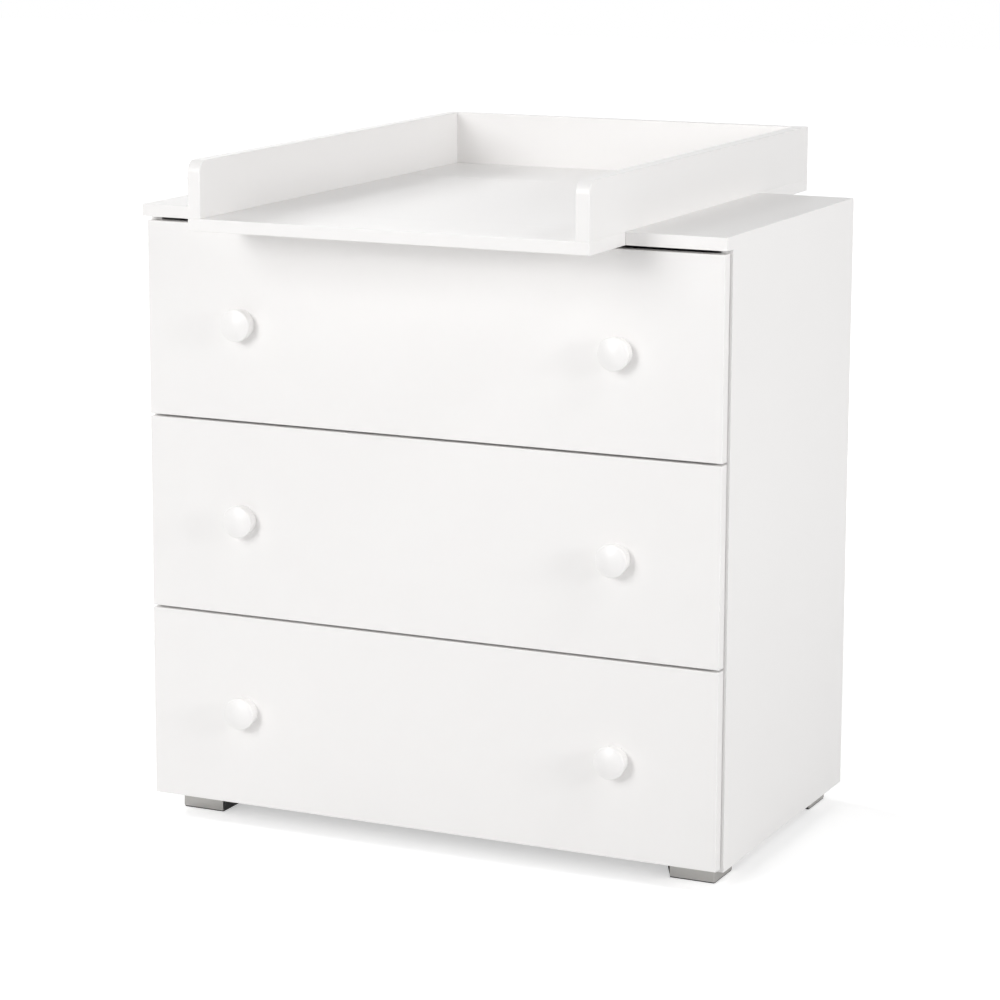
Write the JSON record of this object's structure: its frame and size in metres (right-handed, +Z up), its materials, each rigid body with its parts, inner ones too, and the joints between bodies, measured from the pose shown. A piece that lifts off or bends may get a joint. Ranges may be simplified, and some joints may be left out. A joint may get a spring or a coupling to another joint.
{
  "type": "changing dresser",
  "caption": "White chest of drawers on square metal feet with round knobs and a lift-off changing top, whose rails reach out in front of and behind the chest.",
  "frame": {"origin": "on the floor, in the middle of the width and of the depth of the changing top", "axes": "+X to the right seen from the front, +Y to the rear, +Z up"},
  "size_m": [0.8, 0.755, 0.885],
  "materials": {
    "white_board": "satin white melamine on chipboard",
    "white_hardboard": "matte white hardboard",
    "white_knob": "smooth white",
    "brushed_foot": "brushed, silver grey",
    "dark_glide": "matte",
    "white_runner": "white powder coat",
    "nylon_roller": "smooth",
    "zinc_screw": "zinc plated",
    "zinc_cam": "die-cast zinc, bare",
    "beech_dowel": "plain beech"
  },
  "bodies": {
    "chest": {"side_panel_left": "white_board", "side_panel_right": "white_board", "top_panel": "white_board", "bottom_panel": "white_board", "back_panel": "white_hardboard", "foot_front_left": "brushed_foot", "foot_front_right": "brushed_foot", "foot_rear_left": "brushed_foot", "foot_rear_right": "brushed_foot", "foot_glides": "dark_glide", "foot_screws": "zinc_screw", "cam_bolts": "zinc_screw", "cabinet_runner_screws": "zinc_screw", "cam_housings": "zinc_cam", "chest_dowels": "beech_dowel", "cabinet_runners_left": "white_runner", "cabinet_runners_right": "white_runner"},
    "changing_top": {"tray_rail_left": "white_board", "tray_rail_right": "white_board", "tray_front_board": "white_board", "tray_rear_board": "white_board", "tray_back_board": "white_board", "tray_screws": "zinc_screw"},
    "drawer_top": {"drawer_top_front": "white_board", "drawer_top_side_left": "white_board", "drawer_top_side_right": "white_board", "drawer_top_back": "white_board", "drawer_top_bottom": "white_hardboard", "drawer_top_knobs": "white_knob", "drawer_top_knob_screws": "zinc_screw", "drawer_top_runners": "white_runner", "drawer_top_runner_screws": "zinc_screw", "drawer_top_dowels": "beech_dowel"},
    "drawer_rollers_top": {"drawer_top_rollers": "nylon_roller"},
    "cabinet_rollers_top": {"cabinet_rollers_top": "nylon_roller"},
    "drawer_middle": {"drawer_middle_front": "white_board", "drawer_middle_side_left": "white_board", "drawer_middle_side_right": "white_board", "drawer_middle_back": "white_board", "drawer_middle_bottom": "white_hardboard", "drawer_middle_knobs": "white_knob", "drawer_middle_knob_screws": "zinc_screw", "drawer_middle_runners": "white_runner", "drawer_middle_runner_screws": "zinc_screw", "drawer_middle_dowels": "beech_dowel"},
    "drawer_rollers_middle": {"drawer_middle_rollers": "nylon_roller"},
    "cabinet_rollers_middle": {"cabinet_rollers_middle": "nylon_roller"},
    "drawer_bottom": {"drawer_bottom_front": "white_board", "drawer_bottom_side_left": "white_board", "drawer_bottom_side_right": "white_board", "drawer_bottom_back": "white_board", "drawer_bottom_bottom": "white_hardboard", "drawer_bottom_knobs": "white_knob", "drawer_bottom_knob_screws": "zinc_screw", "drawer_bottom_runners": "white_runner", "drawer_bottom_runner_screws": "zinc_screw", "drawer_bottom_dowels": "beech_dowel"},
    "drawer_rollers_bottom": {"drawer_bottom_rollers": "nylon_roller"},
    "cabinet_rollers_bottom": {"cabinet_rollers_bottom": "nylon_roller"}
  },
  "joints": [
    {"name": "changing_top_lift", "type": "slide", "parent": "chest", "child": "changing_top", "axis": [0, 0, 1], "range_m": [0, 0.15]},
    {"name": "drawer_top_slide", "type": "slide", "parent": "chest", "child": "drawer_top", "axis": [0, -1, 0], "range_m": [0, 0.3]},
    {"name": "drawer_rollers_top_spin", "type": "hinge", "parent": "drawer_top", "child": "drawer_rollers_top", "pos_m": [0, 0.1415, 0.569], "axis": [1, 0, 0], "range_deg": [0, 1720]},
    {"name": "cabinet_rollers_top_spin", "type": "hinge", "parent": "chest", "child": "cabinet_rollers_top", "pos_m": [0, -0.2313, 0.5711], "axis": [1, 0, 0], "range_deg": [0, 1720]},
    {"name": "drawer_middle_slide", "type": "slide", "parent": "chest", "child": "drawer_middle", "axis": [0, -1, 0], "range_m": [0, 0.3]},
    {"name": "drawer_rollers_middle_spin", "type": "hinge", "parent": "drawer_middle", "child": "drawer_rollers_middle", "pos_m": [0, 0.1415, 0.314], "axis": [1, 0, 0], "range_deg": [0, 1720]},
    {"name": "cabinet_rollers_middle_spin", "type": "hinge", "parent": "chest", "child": "cabinet_rollers_middle", "pos_m": [0, -0.2313, 0.3161], "axis": [1, 0, 0], "range_deg": [0, 1720]},
    {"name": "drawer_bottom_slide", "type": "slide", "parent": "chest", "child": "drawer_bottom", "axis": [0, -1, 0], "range_m": [0, 0.3]},
    {"name": "drawer_rollers_bottom_spin", "type": "hinge", "parent": "drawer_bottom", "child": "drawer_rollers_bottom", "pos_m": [0, 0.1415, 0.059], "axis": [1, 0, 0], "range_deg": [0, 1720]},
    {"name": "cabinet_rollers_bottom_spin", "type": "hinge", "parent": "chest", "child": "cabinet_rollers_bottom", "pos_m": [0, -0.2313, 0.0611], "axis": [1, 0, 0], "range_deg": [0, 1720]}
  ],
  "couplings": [
    {"joint": "drawer_rollers_top_spin", "follows": "drawer_top_slide", "rad_per_m": 100},
    {"joint": "cabinet_rollers_top_spin", "follows": "drawer_top_slide", "rad_per_m": 100},
    {"joint": "drawer_rollers_middle_spin", "follows": "drawer_middle_slide", "rad_per_m": 100},
    {"joint": "cabinet_rollers_middle_spin", "follows": "drawer_middle_slide", "rad_per_m": 100},
    {"joint": "drawer_rollers_bottom_spin", "follows": "drawer_bottom_slide", "rad_per_m": 100},
    {"joint": "cabinet_rollers_bottom_spin", "follows": "drawer_bottom_slide", "rad_per_m": 100}
  ]
}
